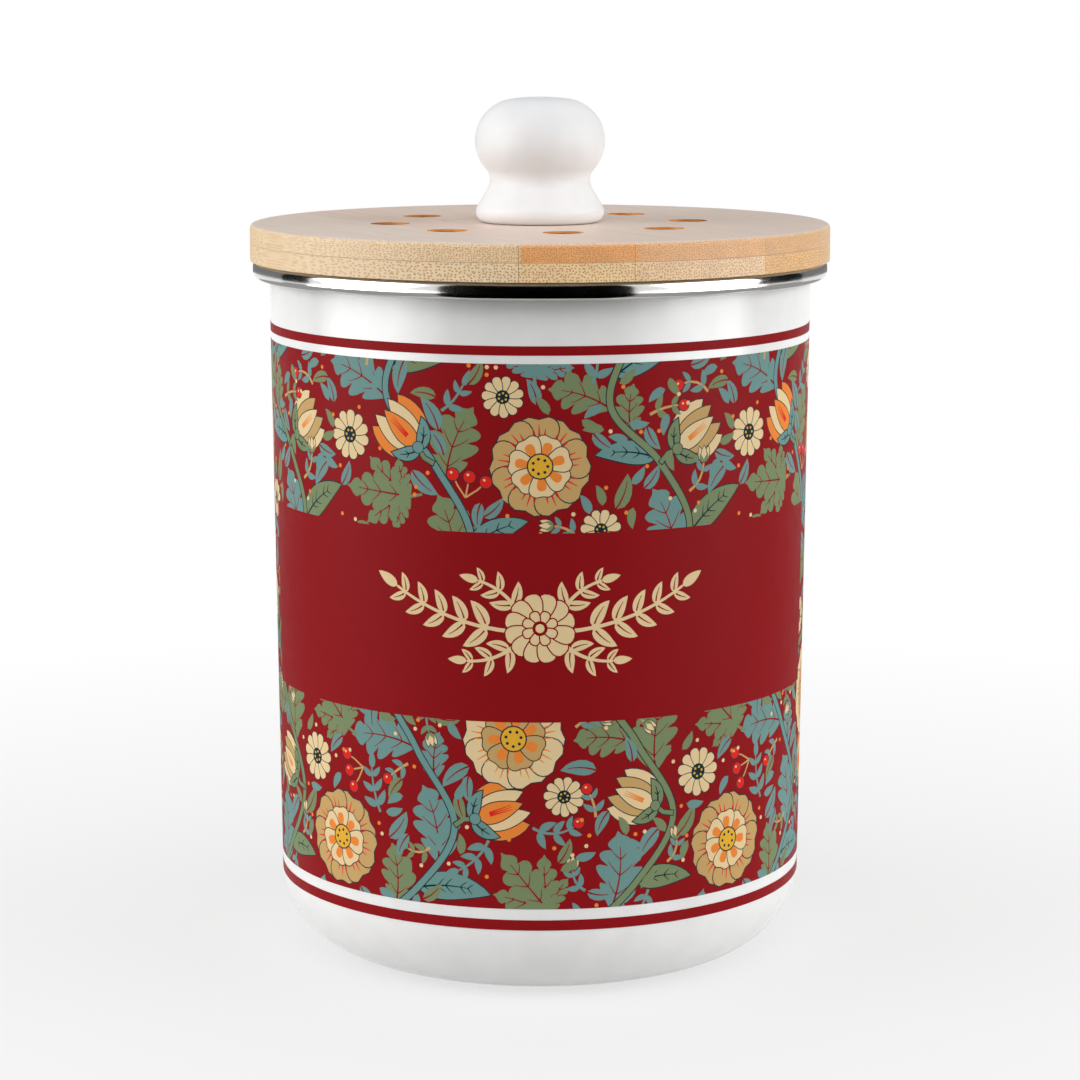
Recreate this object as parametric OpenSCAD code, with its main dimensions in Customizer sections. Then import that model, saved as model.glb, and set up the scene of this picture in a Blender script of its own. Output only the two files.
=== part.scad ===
// Compost caddy for scraps on the worktop. A drawn and enamelled steel canister with
// a rolled mouth and a stainless rim band, a two-ply bamboo lid that lifts off by its
// ceramic knob, and a charcoal filter in a tray pushed into the plug under the lid.
// Millimetres, +Z up, origin at the middle of the base, front towards -Y.

/* [Canister] */
// Outside diameter of the wall, at the level of the rim's top
mouth_d = 149.6; // [138:0.2:164]
// Slope of the wall, narrower towards the base, in degrees
wall_draft = 0.61; // [0:0.01:1.5]
// Height from the standing ring to the top of the rim
canister_h = 192.7; // [120:0.1:260]
// Thickness of the enamelled sheet
sheet_t = 0.9; // [0.6:0.1:1.2]
// Outside radius of the corner between wall and base
corner_r = 23; // [12:0.5:32]
// Width of the flat ring that the canister stands on
stand_w = 5; // [3:0.5:10]
// Rise of the stamped step inside the standing ring
step_h = 0.8; // [0.4:0.1:2]
// Width of the slope of the stamped step
step_w = 3; // [2:0.5:6]
// Rise of the domed middle of the base above the step
dome_h = 1.4; // [0.6:0.1:4]

/* [Rim] */
// How far the stainless band stands out from the wall
rim_out = 4.5; // [4:0.1:7]
// Outside radius of the rolled edge of the sheet
curl_r = 1.8; // [1.4:0.1:2]
// Slot left between the end of the rolled edge and the wall
curl_slot = 0.3; // [0.2:0.1:0.5]
// Thickness of the stainless band
band_t = 0.5; // [0.3:0.1:0.7]
// Gap between the rolled edge and the band around it
band_gap = 0.05; // [0.03:0.01:0.1]
// Length of the band's flat lip under the rolled edge
band_lip = 0.8; // [0.4:0.1:1]
// Share of the inner round that the band covers, in degrees from its crown
band_wrap = 30; // [10:5:40]

/* [Lid board] */
// How far the lid stands out past the rim band
lid_over = 0.7; // [0:0.1:4]
// Thickness of each bamboo ply
ply_t = 5; // [4.6:0.1:8]
// Radius of the round on the lid's upper edge
lid_round_top = 1.2; // [0.5:0.1:3]
// Radius of the round on the lid's lower edge
lid_round_low = 0.9; // [0.5:0.1:3]
// Diameter of an air vent
vent_d = 10; // [5:0.5:14]
// Number of air vents
vent_n = 8; // [4:1:12]
// Distance of the ring of vents inside the filter pad's edge
vent_inset = 12.4; // [9:0.1:18]
// Turn of the ring of vents about the lid's axis, in degrees
vent_turn = 8.5; // [0:0.5:45]
// Size of the bevel that breaks each vent's upper edge
vent_bevel = 0.5; // [0.2:0.1:1]

/* [Plug and seal] */
// Height of the plug ring glued under the lid
plug_h = 10; // [9:0.5:18]
// Radial gap between the plug ring and the canister's wall
plug_gap = 1.4; // [1:0.1:3]
// Radial width of the plug ring
plug_w = 16.4; // [10:0.2:19]
// Size of the bevel that leads the plug into the mouth
plug_bevel = 1.5; // [0.5:0.1:2]
// Height of the seal's groove
groove_h = 4.6; // [3.6:0.1:5]
// Depth of the seal's groove
groove_d = 2.2; // [1.5:0.1:4]
// Gap between the seal and the bottom of its groove
seal_fit = 0.05; // [0.02:0.01:0.1]
// Gap between the seal's lips and the canister's wall
lip_gap = 0.3; // [0.2:0.05:0.6]
// Thickness of each seal lip where it leaves the groove
lip_root = 1.2; // [0.8:0.1:1.5]
// Thickness of each seal lip at its edge
lip_edge = 0.5; // [0.3:0.1:0.7]
// Upward slant of the lips, from root to edge
lip_rise = 0.6; // [0:0.1:0.6]

/* [Filter] */
// Radial gap between the tray's wall and the plug's bore
tray_gap = 0.35; // [0.2:0.05:0.6]
// Gap between the tray's grip ribs and the plug's bore
grip_gap = 0.06; // [0.02:0.01:0.1]
// Number of grip ribs
grip_n = 8; // [4:1:16]
// Width of a grip rib
grip_w = 1.6; // [1:0.1:3]
// Thickness of the tray's moulded walls and floor
tray_t = 1.4; // [1:0.1:2]
// Radial width of the tray's flange under the plug
flange_w = 4.4; // [2:0.2:6]
// Thickness of the charcoal pad
pad_t = 6.6; // [4:0.1:7]
// Radial gap between the pad and the tray's wall
pad_gap = 0.3; // [0.2:0.1:1]
// Height that the tray's wall stands above the pad
tray_spare = 0.8; // [0.5:0.1:1.2]
// Radial width of a slot in the tray's floor
slot_w = 5; // [3:0.5:6]
// Radial distance from one ring of slots to the next
slot_pitch = 9.4; // [8:0.2:14]
// Radius of the innermost ring of slots
slot_start = 14; // [11:0.5:20]
// Rough length of a slot
slot_len = 20; // [12:1:30]
// Width of the bridge between two slots of a ring
slot_bridge = 3; // [2:0.5:5]
// Width of the tray's pull tab
tab_w = 18; // [12:1:24]
// Height of the tray's pull tab
tab_h = 8; // [5:0.5:14]
// Thickness of the tray's pull tab
tab_t = 2.2; // [1.6:0.2:4]
// Radius of the pull tab's lower corners
tab_round = 3; // [1:0.5:5]

/* [Knob] */
// Largest diameter of the knob's head
knob_d = 35.8; // [32:0.2:40]
// Diameter of the knob's waist
waist_d = 27.6; // [25:0.2:30]
// Diameter of the knob's foot
knob_foot_d = 35.4; // [32:0.2:38]
// Height of the waist above the lid
waist_h = 11.7; // [10.8:0.1:16]
// Radius of the round at the head's widest part
head_r = 11.5; // [10.5:0.1:13]
// Radius of the flat crown on top of the head
crown_r = 57; // [30:1:90]
// Radius of the hollow round the waist
hollow_r = 4.5; // [3.5:0.1:5]
// Radius of the round at the foot
foot_r = 3; // [2:0.1:3.4]

/* [Knob fixing] */
// Thread diameter of the screw that holds the knob
screw_d = 5; // [4:0.5:6]
// Length of the screw under its head
screw_l = 16; // [13:1:18]
// Diameter of the screw's head
screw_head_d = 9.5; // [8:0.5:11]
// Height of the screw's head
screw_head_h = 2.75; // [2:0.05:2.8]
// Width across the flats of the screw's socket
socket_af = 3; // [2.5:0.5:4]
// Depth of the screw's socket
socket_h = 1.6; // [1:0.1:1.8]
// How far the head's round runs down to its flat, in degrees
screw_dome = 60; // [45:5:75]
// Diameter of the washer
washer_d = 15; // [12:0.5:20]
// Thickness of the washer
washer_t = 1.2; // [0.8:0.1:1.4]
// Outside diameter of the threaded insert in the knob
insert_d = 8; // [7.5:0.5:10]
// Length of the threaded insert
insert_l = 12; // [11:0.5:16]
// Height of each ring cut round the insert for the cement
key_h = 2; // [1:0.5:3]
// Depth of each ring cut round the insert
key_d = 0.5; // [0.3:0.1:0.8]
// Radial gap between the screw and the insert's thread
thread_gap = 0.05; // [0.02:0.01:0.1]
// Layer of cement between the insert and the knob
cement_t = 0.1; // [0.05:0.05:0.3]
// Radial gap round the screw in the lid and in the washer
screw_gap = 0.25; // [0.1:0.05:0.6]
// Radial gap round the washer in its recess
recess_gap = 0.5; // [0.3:0.1:1]
// How far the screw's head stays above the lid's lower face
recess_spare = 0.05; // [0:0.05:0.2]

/* [Hidden] */
$fn = 96;
// How far a cut runs past the face that it opens
past = 1;
// Degrees turned by one step of a rounded outline
arc_step = 6;
fine_step = 15;

// Points along an arc about [c.x, c.y], from angle a0 to angle a1
function arc(c, r, a0, a1, step = arc_step) =
    let (n = max(2, ceil(abs(a1 - a0) / step)))
    [for (i = [0:n]) c + r * [cos(a0 + (a1 - a0) * i / n), sin(a0 + (a1 - a0) * i / n)]];

function reversed(list) = [for (i = [len(list) - 1:-1:0]) list[i]];

// Outside radius of the wall at height z
function wall_r(z) = mouth_d / 2 - (canister_h - z) * tan(wall_draft);

// The rolled mouth: centres of the inner and outer rounds of the curl
curl_z = canister_h - band_t - band_gap - curl_r;
curl_in_x = wall_r(curl_z) - sheet_t + curl_r;
curl_out_x = mouth_d / 2 + rim_out - band_t - band_gap - curl_r;
curl_end_x = wall_r(curl_z - curl_r) + curl_slot;

// The base: centre of the corner's arc, then the standing ring, the step and the dome
corner_x = wall_r(0) - corner_r * (1 - sin(wall_draft)) / cos(wall_draft);
stand_x = corner_x - stand_w;
dome_x = stand_x - step_w;
dome_r = (dome_x * dome_x + dome_h * dome_h) / (2 * dome_h);
dome_a = asin(dome_x / dome_r);

// One face of the sheet, from the middle of the base to the end of the curl. The face
// that is outside on the wall, at depth 0, ends up inside the curl.
function sheet_face(depth) = concat(
    arc([0, step_h + dome_h - dome_r + depth], dome_r, 90, 90 - dome_a, 1),
    [[stand_x, depth]],
    arc([corner_x, corner_r], corner_r - depth, -90, -wall_draft),
    arc([curl_in_x, curl_z], curl_r - sheet_t + depth, 180, 90, fine_step),
    arc([curl_out_x, curl_z], curl_r - sheet_t + depth, 90, -90, fine_step),
    [[curl_end_x, curl_z - curl_r + sheet_t - depth]]
);

// One face of the band round the curl, at a distance from the curl's own face
function band_face(out) = concat(
    arc([curl_in_x, curl_z], curl_r + out, 90 + band_wrap, 90, fine_step),
    arc([curl_out_x, curl_z], curl_r + out, 90, -90, fine_step),
    [[curl_out_x - band_lip, curl_z - curl_r - out]]
);

// The lid's levels
lid_z = canister_h;
ply_z = lid_z + ply_t;
lid_top = ply_z + ply_t;
lid_r = mouth_d / 2 + rim_out + lid_over;
plug_z = lid_z - plug_h;

// The plug ring, its groove in the middle of its height, and the seal
plug_r = wall_r(plug_z) - sheet_t - plug_gap;
bore_r = plug_r - plug_w;
groove_z = lid_z - (plug_h + groove_h) / 2;
lip_z = groove_z + groove_h / 4 - lip_root / 2;
lip_pitch = groove_h / 2;
lip_r = wall_r(lip_z) - sheet_t - lip_gap;

// The filter tray under the lid, hung by its flange from the plug's lower face
tray_r = bore_r - tray_gap;
tray_in_r = tray_r - tray_t;
pad_r = tray_in_r - pad_gap;
tray_z = plug_z - tray_t;
tray_top = plug_z + pad_t + tray_spare;
vent_ring_r = pad_r - vent_inset;

// The knob's centres of arc, from the head down to the foot
head_x = knob_d / 2 - head_r;
hollow_x = waist_d / 2 + hollow_r;
head_z = waist_h + sqrt(pow(head_r + hollow_r, 2) - pow(hollow_x - head_x, 2));
crown_z = head_z - sqrt(pow(crown_r - head_r, 2) - head_x * head_x);
foot_x = knob_foot_d / 2 - foot_r;
// Angles at which one arc passes into the next
crown_a = atan2(head_z - crown_z, head_x);
neck_a = atan2(head_z - waist_h, head_x - hollow_x);
slope_d = norm([hollow_x - foot_x, waist_h - foot_r]);
slope_a = atan2(waist_h - foot_r, hollow_x - foot_x)
    + asin((hollow_r + foot_r) / slope_d) - 90;

// The knob's fixing: the washer lies in the recess and the screw's head under it
recess_h = washer_t + screw_head_h + recess_spare;
bearing_z = lid_z + recess_h - washer_t;
screw_hole_r = screw_d / 2 + screw_gap;

// ---------------------------------------------------------------- canister

// The drawn sheet: domed base, standing ring, round corner, wall and rolled mouth
module canister_shell() {
    color("white")
    rotate_extrude()
    polygon(concat(sheet_face(0), reversed(sheet_face(sheet_t))));
}

// The stainless band that is pressed round the rolled mouth
module rim_band() {
    color("silver")
    rotate_extrude()
    polygon(concat(band_face(band_gap), reversed(band_face(band_gap + band_t))));
}

// ---------------------------------------------------------------- lid

// Places its children at every vent
module at_vents() {
    for (i = [0:vent_n - 1])
        rotate([0, 0, vent_turn + i * 360 / vent_n])
        translate([vent_ring_r, 0, 0])
        children();
}

// A vent's drill, from below z to above it by the ply's thickness
module vent_drill(z) {
    translate([0, 0, z - past])
    cylinder(d = vent_d, h = ply_t + 2 * past);
}

module lid_upper_ply() {
    color("burlywood")
    difference() {
        rotate_extrude()
        polygon(concat(
            [[0, ply_z], [lid_r, ply_z]],
            arc([lid_r - lid_round_top, lid_top - lid_round_top], lid_round_top, 0, 90, fine_step),
            [[0, lid_top]]
        ));
        at_vents() {
            vent_drill(ply_z);
            translate([0, 0, lid_top - vent_bevel])
            cylinder(r1 = vent_d / 2, r2 = vent_d / 2 + vent_bevel + past, h = vent_bevel + past);
        }
        translate([0, 0, ply_z - past])
        cylinder(r = screw_hole_r, h = ply_t + 2 * past);
    }
}

module lid_lower_ply() {
    color("tan")
    difference() {
        rotate_extrude()
        polygon(concat(
            [[0, ply_z], [0, lid_z]],
            arc([lid_r - lid_round_low, lid_z + lid_round_low], lid_round_low, -90, 0, fine_step),
            [[lid_r, ply_z]]
        ));
        at_vents()
        vent_drill(lid_z);
        translate([0, 0, lid_z - past])
        cylinder(r = screw_hole_r, h = ply_t + 2 * past);
        translate([0, 0, lid_z - past])
        cylinder(r = washer_d / 2 + recess_gap, h = recess_h + past);
    }
}

module lid_plug_ring() {
    color("wheat")
    rotate_extrude()
    polygon([
        [bore_r, plug_z],
        [plug_r - plug_bevel, plug_z],
        [plug_r, plug_z + plug_bevel],
        [plug_r, groove_z],
        [plug_r - groove_d, groove_z],
        [plug_r - groove_d, groove_z + groove_h],
        [plug_r, groove_z + groove_h],
        [plug_r, lid_z],
        [bore_r, lid_z]
    ]);
}

// One lip of the seal, seen in section
function lip(z) = [
    [plug_r, z],
    [lip_r, z + lip_rise + (lip_root - lip_edge) / 2],
    [lip_r, z + lip_rise + (lip_root + lip_edge) / 2],
    [plug_r, z + lip_root]
];

module lid_seal() {
    color("gainsboro")
    rotate_extrude()
    polygon(concat(
        [[plug_r - groove_d + seal_fit, groove_z], [plug_r, groove_z]],
        lip(lip_z),
        lip(lip_z + lip_pitch),
        [[plug_r, groove_z + groove_h], [plug_r - groove_d + seal_fit, groove_z + groove_h]]
    ));
}

// ---------------------------------------------------------------- filter

// A slot along an arc of radius r with round ends, cut through the tray's floor
module floor_slot(r, sweep) {
    translate([0, 0, tray_z - past]) {
        rotate([0, 0, -sweep / 2])
        rotate_extrude(angle = sweep)
        translate([r - slot_w / 2, 0])
        square([slot_w, tray_t + 2 * past]);
        for (side = [-1, 1])
            rotate([0, 0, side * sweep / 2])
            translate([r, 0, 0])
            cylinder(d = slot_w, h = tray_t + 2 * past);
    }
}

module slot_ring(r) {
    count = max(3, round(2 * PI * r / (slot_len + slot_bridge)));
    sweep = 360 / count - (slot_w + slot_bridge) * 180 / (PI * r);
    for (i = [0:count - 1])
        rotate([0, 0, i * 360 / count])
        floor_slot(r, sweep);
}

module filter_tray() {
    slots_end = tray_in_r - slot_w / 2 - slot_bridge;
    color("dimgray") {
        difference() {
            rotate_extrude()
            polygon([
                [0, tray_z],
                [bore_r + flange_w, tray_z],
                [bore_r + flange_w, plug_z],
                [tray_r, plug_z],
                [tray_r, tray_top],
                [tray_in_r, tray_top],
                [tray_in_r, plug_z],
                [0, plug_z]
            ]);
            for (r = [slot_start:slot_pitch:slots_end])
                slot_ring(r);
        }
        // Grip ribs round the wall
        intersection() {
            for (i = [0:grip_n - 1])
                rotate([0, 0, i * 360 / grip_n])
                translate([tray_in_r + tray_t / 2, -grip_w / 2, plug_z])
                cube([tray_t + tray_gap, grip_w, tray_top - plug_z]);
            translate([0, 0, plug_z - past])
            cylinder(r = bore_r - grip_gap, h = tray_top - plug_z + 2 * past);
        }
        // Pull tab under the middle of the floor, rooted to half the floor's depth
        translate([0, tab_t / 2, tray_z])
        rotate([90, 0, 0])
        linear_extrude(tab_t)
        union() {
            translate([-tab_w / 2, tab_round - tab_h])
            square([tab_w, tab_h - tab_round + tray_t / 2]);
            translate([tab_round - tab_w / 2, -tab_h])
            square([tab_w - 2 * tab_round, tab_round]);
            for (side = [-1, 1])
                translate([side * (tab_w / 2 - tab_round), tab_round - tab_h])
                circle(r = tab_round);
        }
    }
}

module filter_pad() {
    color("darkslategray")
    translate([0, 0, plug_z])
    cylinder(r = pad_r, h = pad_t);
}

// ---------------------------------------------------------------- knob

module knob() {
    color("snow")
    translate([0, 0, lid_top])
    difference() {
        rotate_extrude()
        polygon(concat(
            [[0, 0]],
            arc([foot_x, foot_r], foot_r, -90, slope_a),
            arc([hollow_x, waist_h], hollow_r, 180 + slope_a, neck_a),
            arc([head_x, head_z], head_r, neck_a - 180, crown_a),
            arc([0, crown_z], crown_r, crown_a, 90, 1)
        ));
        translate([0, 0, -past])
        cylinder(d = insert_d + 2 * cement_t, h = insert_l + cement_t + past);
    }
}

// The threaded insert, with two rings cut round it for the cement
module knob_insert() {
    color("goldenrod")
    translate([0, 0, lid_top])
    difference() {
        cylinder(d = insert_d, h = insert_l);
        translate([0, 0, -past])
        cylinder(d = screw_d, h = insert_l + 2 * past);
        for (z = [key_h, insert_l - 2 * key_h])
            translate([0, 0, z])
            difference() {
                cylinder(d = insert_d + 2 * past, h = key_h);
                cylinder(d = insert_d - 2 * key_d, h = key_h);
            }
    }
}

// A button-head screw, head down, with a six-sided socket
module knob_screw() {
    color("lightsteelblue")
    translate([0, 0, bearing_z])
    difference() {
        rotate_extrude()
        polygon(concat(
            [[0, -screw_head_h]],
            [for (a = [screw_dome:-fine_step:0])
                [screw_head_d / 2 * cos(a), -screw_head_h * sin(a) / sin(screw_dome)]],
            [[screw_d / 2 - thread_gap, 0], [screw_d / 2 - thread_gap, screw_l], [0, screw_l]]
        ));
        translate([0, 0, -screw_head_h - past])
        cylinder(d = socket_af / cos(30), h = socket_h + past, $fn = 6);
    }
}

module knob_washer() {
    color("silver")
    translate([0, 0, bearing_z])
    difference() {
        cylinder(d = washer_d, h = washer_t);
        translate([0, 0, -past])
        cylinder(r = screw_hole_r, h = washer_t + 2 * past);
    }
}

// ---------------------------------------------------------------- assembly

canister_shell();
rim_band();
lid_upper_ply();
lid_lower_ply();
lid_plug_ring();
lid_seal();
filter_tray();
filter_pad();
knob();
knob_insert();
knob_screw();
knob_washer();
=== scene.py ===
"""A compost caddy: enamelled steel canister with a fired floral print, bamboo lid, ceramic knob."""

import cmath
import math
import random
from functools import cache
from types import SimpleNamespace

import bpy
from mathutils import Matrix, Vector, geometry


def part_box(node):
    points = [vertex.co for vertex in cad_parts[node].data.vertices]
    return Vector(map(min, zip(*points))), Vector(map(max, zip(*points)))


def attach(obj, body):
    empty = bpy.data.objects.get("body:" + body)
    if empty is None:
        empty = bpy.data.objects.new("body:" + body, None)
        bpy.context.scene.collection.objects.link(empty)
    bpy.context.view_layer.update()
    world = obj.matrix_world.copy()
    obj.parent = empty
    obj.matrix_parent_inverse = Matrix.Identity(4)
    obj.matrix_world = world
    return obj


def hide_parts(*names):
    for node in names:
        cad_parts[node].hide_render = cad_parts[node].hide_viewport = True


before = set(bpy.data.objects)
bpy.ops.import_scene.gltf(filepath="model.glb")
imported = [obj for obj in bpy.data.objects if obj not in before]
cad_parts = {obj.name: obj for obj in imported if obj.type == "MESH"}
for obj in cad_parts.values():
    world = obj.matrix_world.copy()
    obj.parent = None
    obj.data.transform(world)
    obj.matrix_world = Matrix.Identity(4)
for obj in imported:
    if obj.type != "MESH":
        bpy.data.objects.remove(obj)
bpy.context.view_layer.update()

bl_info = {
    "name": "Compost Caddy",
    "version": (1, 0, 0),
    "blender": (4, 5, 0),
    "location": "3D Viewport > Sidebar > Caddy",
    "description": "Builds an enamelled compost caddy with a bamboo lid and a ceramic knob",
    "category": "Object",
}

MM = 0.001
FACETS = 288  # sides of a turned piece, and of the printed wall
GRAIN = math.radians(28)  # how far the bamboo's strips turn from front to the front right
BOARD_R = 81.0  # a board's strips are laid out to this distance from its middle, in millimetres
GLUE_HALF = 0.07  # half the width of a line of glue, in millimetres


# ---------------------------------------------------------------- colour and node tools

def linear(code):
    """A colour written as sRGB hex, such as "8F161B", in the linear values that the shaders take."""
    parts = [int(code[i:i + 2], 16) / 255 for i in (0, 2, 4)]
    return tuple(p / 12.92 if p <= 0.04045 else ((p + 0.055) / 1.055) ** 2.4 for p in parts) + (1.0,)


def feed(tree, node, sockets):
    """Gives sockets, named or counted, their values, or wires them to other nodes."""
    for name, value in sockets.items():
        if isinstance(value, bpy.types.Node):
            value = value.outputs[0]
        if isinstance(value, bpy.types.NodeSocket):
            tree.links.new(value, node.inputs[name])
        else:
            node.inputs[name].default_value = value


def add(tree, kind, sockets=None, stops=(), **properties):
    """Adds a node with its sockets, the stops of its colour ramp and its properties."""
    new = tree.nodes.new("ShaderNode" + kind)
    for name, value in properties.items():
        setattr(new, name, value)
    feed(tree, new, sockets or {})
    for i, (place, colour) in enumerate(stops):
        element = new.color_ramp.elements[i] if i < 2 else new.color_ramp.elements.new(place)
        element.position, element.color = place, colour
    return new


def maths(tree, operation, *values):
    return add(tree, "Math", dict(enumerate(values)), operation=operation)


def times(tree, place, factors):
    """A place or a colour, multiplied part by part."""
    return add(tree, "VectorMath", {0: place, 1: factors}, operation="MULTIPLY")


def noise(tree, place, scale, detail, rough=0.5):
    return add(tree, "TexNoise", {"Vector": place, "Scale": scale, "Detail": detail, "Roughness": rough})


def spread(tree, value, start, end, low=0.0, high=1.0):
    """Turns values from start to end into values from low to high."""
    return add(tree, "MapRange",
               {"Value": value, "From Min": start, "From Max": end, "To Min": low, "To Max": high})


def shades(tree, value, low, high, start=0.3, end=0.7):
    """Runs from one colour to another as a value goes from start to end."""
    return add(tree, "ValToRGB", {0: value}, stops=((start, linear(low)), (end, linear(high))))


def blend(tree, factor, low, high):
    """Mixes two colours."""
    return add(tree, "Mix", {"Factor": factor, 6: low, 7: high}, data_type="RGBA").outputs[2]


def in_mm(tree):
    """The object's own coordinates, in millimetres."""
    place = add(tree, "TexCoord")
    return add(tree, "VectorMath", {0: place.outputs["Object"], "Scale": 1 / MM}, operation="SCALE")


def in_rings(tree, place):
    """Distance from the turning axis and height, so that a pattern runs round in rings."""
    radius = add(tree, "VectorMath", {0: times(tree, place, (1, 1, 0))}, operation="LENGTH")
    height = add(tree, "SeparateXYZ", {0: place})
    return add(tree, "CombineXYZ", {"X": radius.outputs["Value"], "Z": height.outputs["Z"]})


def dress(tree, shader, tone=None, rough=None, relief=None, depth=0.0):
    """Gives a surface its colour, its roughness, and a relief so many millimetres deep."""
    if relief:
        relief = add(tree, "Bump", {"Height": relief, "Distance": depth * MM})
    wires = (("Base Color", tone), ("Roughness", rough), ("Normal", relief))
    feed(tree, shader, {name: value for name, value in wires if value})


def blank(kind, name):
    """A material or a world with no nodes: (made, tree)."""
    made = kind.new(name)
    made.use_nodes = True
    made.node_tree.nodes.clear()
    return made, made.node_tree


def material(name, colour, roughness, **surface):
    """A material with a Principled shader: (material, tree, shader)."""
    made, tree = blank(bpy.data.materials, name)
    sockets = {key.replace("_", " ").title().replace("Ior", "IOR"): value for key, value in surface.items()}
    shader = add(tree, "BsdfPrincipled", {"Base Color": colour, "Roughness": roughness, **sockets})
    add(tree, "OutputMaterial", {"Surface": shader})
    made.diffuse_color = colour
    return made, tree, shader


# ---------------------------------------------------------------- materials

def enamel():
    # Vitreous enamel, sprayed and fired on steel: a hard white gloss whose slow waves, about 8 mm
    # across, soften the edges of what it reflects.
    made, tree, shader = material(
        "White vitreous enamel, sprayed and fired", linear("F2F2F0"), 0.16, ior=1.5)
    peel = noise(tree, in_mm(tree), 0.12, 2)
    dress(tree, shader, shades(tree, peel, "F0F0EE", "F5F5F4"), relief=peel, depth=0.01)
    return made


def print_ink(name, colour):
    # Ceramic transfer ink, screen printed and fired into the enamel: flat, deep colour with almost
    # none of the enamel's shine, and uneven where the ink sank in.
    made, tree, shader = material(
        name + " transfer ink, fired", colour, 0.4, ior=1.5, specular_ior_level=0.035)
    sunk = noise(tree, in_mm(tree), 0.2, 3)
    dress(tree, shader, rough=spread(tree, sunk, 0.3, 0.7, 0.35, 0.45), relief=sunk, depth=0.008)
    return made


def rim_steel():
    # Stainless steel strip, rolled and polished as the canister turns: near a mirror, with fine
    # rings of polish that run round the rim.
    made, tree, shader = material(
        "Stainless steel, rolled and polished", linear("D9D8D5"), 0.1, metallic=1.0)
    place = in_mm(tree)
    lines = noise(tree, in_rings(tree, place), 9, 3)
    worn = maths(tree, "MULTIPLY", lines, noise(tree, place, 0.12, 3))
    dress(tree, shader, rough=spread(tree, worn, 0.1, 0.5, 0.08, 0.15), relief=lines, depth=0.0006)
    return made


def bamboo(name, strips, spacing):
    # Bamboo strips glued side by side, sanded and oiled. The strips run from front to back, turned
    # well to the right: their ends show the cut fibre bundles as dots, drawn out into dashes where
    # the edge runs along them, and their long faces show the same bundles as fine straight streaks.
    # Cut ends drink more oil, so they are warmer. Faces that look up are painted a paler grey: a painted
    # sheen.
    made, tree, shader = material(name, linear("D9B98A"), 0.5, ior=1.48)
    along = add(tree, "VectorRotate", {"Vector": in_mm(tree), "Angle": -GRAIN}, rotation_type="Z_AXIS")
    drift = noise(tree, times(tree, along, (0.02, 0.006, 0.03)), 1, 1)
    drifted = add(tree, "VectorMath", {0: drift.outputs["Color"], 1: (2.0, 0.0, 1.2), 2: along},
                  operation="MULTIPLY_ADD")

    # One colour for each strip, with a thin dark line of glue at each joint
    across = add(tree, "SeparateXYZ", {0: along}).outputs["X"]
    share = spread(tree, across, -BOARD_R, BOARD_R)
    tones = [((start + BOARD_R) / (2 * BOARD_R), linear(code)) for start, code in strips]
    cut = add(tree, "ValToRGB", {0: share}, stops=tones)
    cut.color_ramp.interpolation = "CONSTANT"
    glue = 0.0
    for start, _ in strips[1:]:
        glue = maths(tree, "MAXIMUM", maths(tree, "COMPARE", across, start, GLUE_HALF), glue)

    # Fibre bundles, as dots across the grain and as streaks along it
    axes = add(tree, "SeparateXYZ", {0: drifted})
    section = add(tree, "CombineXYZ", {"X": axes.outputs["X"], "Y": axes.outputs["Z"]})
    bundles = add(tree, "TexVoronoi", {"Vector": section, "Scale": 1 / spacing, "Randomness": 0.7},
                  voronoi_dimensions="2D")
    dots = spread(tree, bundles.outputs["Distance"], 0.12, 0.37, 1, 0)
    fibres = noise(tree, times(tree, drifted, (2.6, 0.03, 2.6)), 1, 4, 0.6)
    bands = noise(tree, times(tree, drifted, (0.16, 0.012, 0.3)), 1, 2)

    # How squarely the fibres are cut, from 0 on a long face to 1 on an end, and which faces look up to take
    # a painted sheen
    normal = add(tree, "NewGeometry").outputs["Normal"]
    fibre_way = (math.sin(GRAIN), -math.cos(GRAIN), 0.0)
    facing = add(tree, "VectorMath", {0: normal, 1: fibre_way}, operation="DOT_PRODUCT")
    end = maths(tree, "ABSOLUTE", facing.outputs["Value"])
    painted_sheen_on_tops = spread(tree, add(tree, "SeparateXYZ", {0: normal}).outputs["Z"], 0.5, 0.95)

    lined = blend(tree, glue, cut, linear("BC8E5C"))
    varied = times(tree, lined, spread(tree, bands, 0.3, 0.7, 0.93, 1.06))
    sides = blend(tree, spread(tree, end, 0.5, 0.85), shades(tree, fibres, "E4C496", "F2DCB8"), varied)
    # Faces that look up: a paler grey painted in, standing for the sheen of reflected light
    painted_sheen_tone = blend(tree, 0.16, shades(tree, fibres, "CEBCAF", "E8DED9"), varied)
    wood = blend(tree, painted_sheen_on_tops, sides, painted_sheen_tone)
    strength = spread(tree, end, 0.1, 0.65, 0.25, 0.85)
    held = maths(tree, "MULTIPLY", strength, maths(tree, "SUBTRACT", 1.0, painted_sheen_on_tops))
    mark = maths(tree, "MULTIPLY", dots, held)
    dress(tree, shader, blend(tree, mark, wood, linear("C4761E")), spread(tree, fibres, 0, 1, 0.42, 0.6),
          maths(tree, "SUBTRACT", fibres, mark), 0.01)
    return made


def drilled_bamboo():
    # The wall of a drilled hole: the warm brown of cut bamboo, darkened by painted shade, uneven in rings.
    made, tree, shader = material("Bamboo, drilled and scorched", linear("B06A2C"), 0.6, ior=1.48)
    hole_rings = noise(tree, times(tree, in_mm(tree), (0.25, 0.25, 2.2)), 1, 4)
    dress(tree, shader, shades(tree, hole_rings, "9A5418", "E09A48"), relief=hole_rings, depth=0.06)
    return made


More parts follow.
